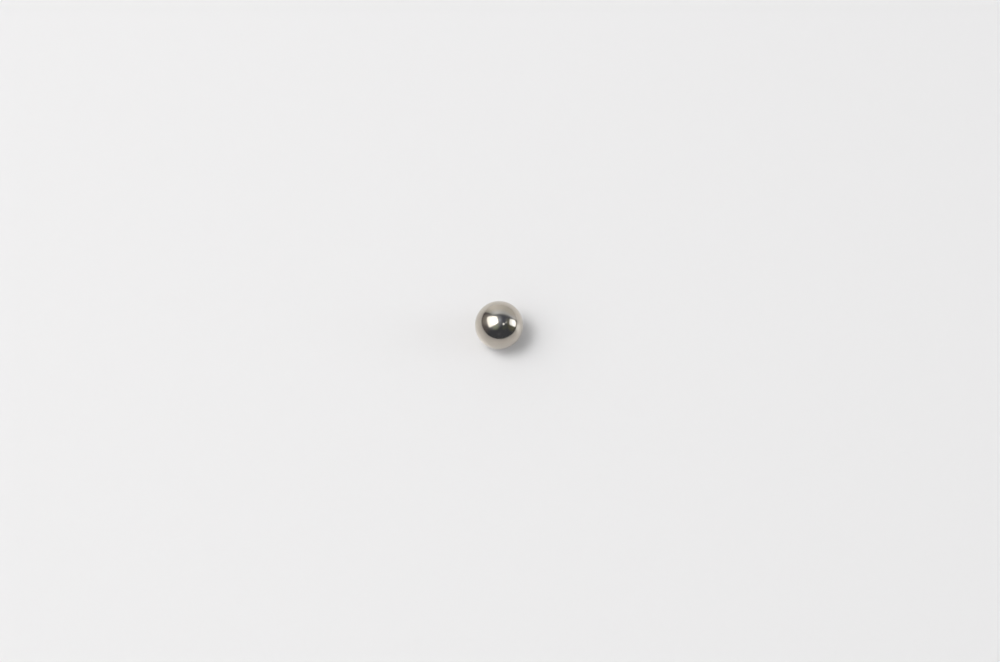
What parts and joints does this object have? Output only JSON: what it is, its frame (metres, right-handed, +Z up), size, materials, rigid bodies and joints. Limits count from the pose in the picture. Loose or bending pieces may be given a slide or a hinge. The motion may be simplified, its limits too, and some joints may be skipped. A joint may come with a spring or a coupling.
{
  "type": "steel ball",
  "caption": "Loose polished steel ball, ground true all over, for use as a rolling element, detent, stop or small weight.",
  "frame": {"origin": "centre of the ball", "axes": "+Z up, away from the surface that the ball lies on; +X to the right and -Y towards the viewer in the picture; the ball is alike about every axis"},
  "size_m": [0.01, 0.01, 0.01],
  "materials": {
    "polished_steel": "polished"
  },
  "bodies": {
    "root": {"steel_ball": "polished_steel"}
  },
  "joints": []
}
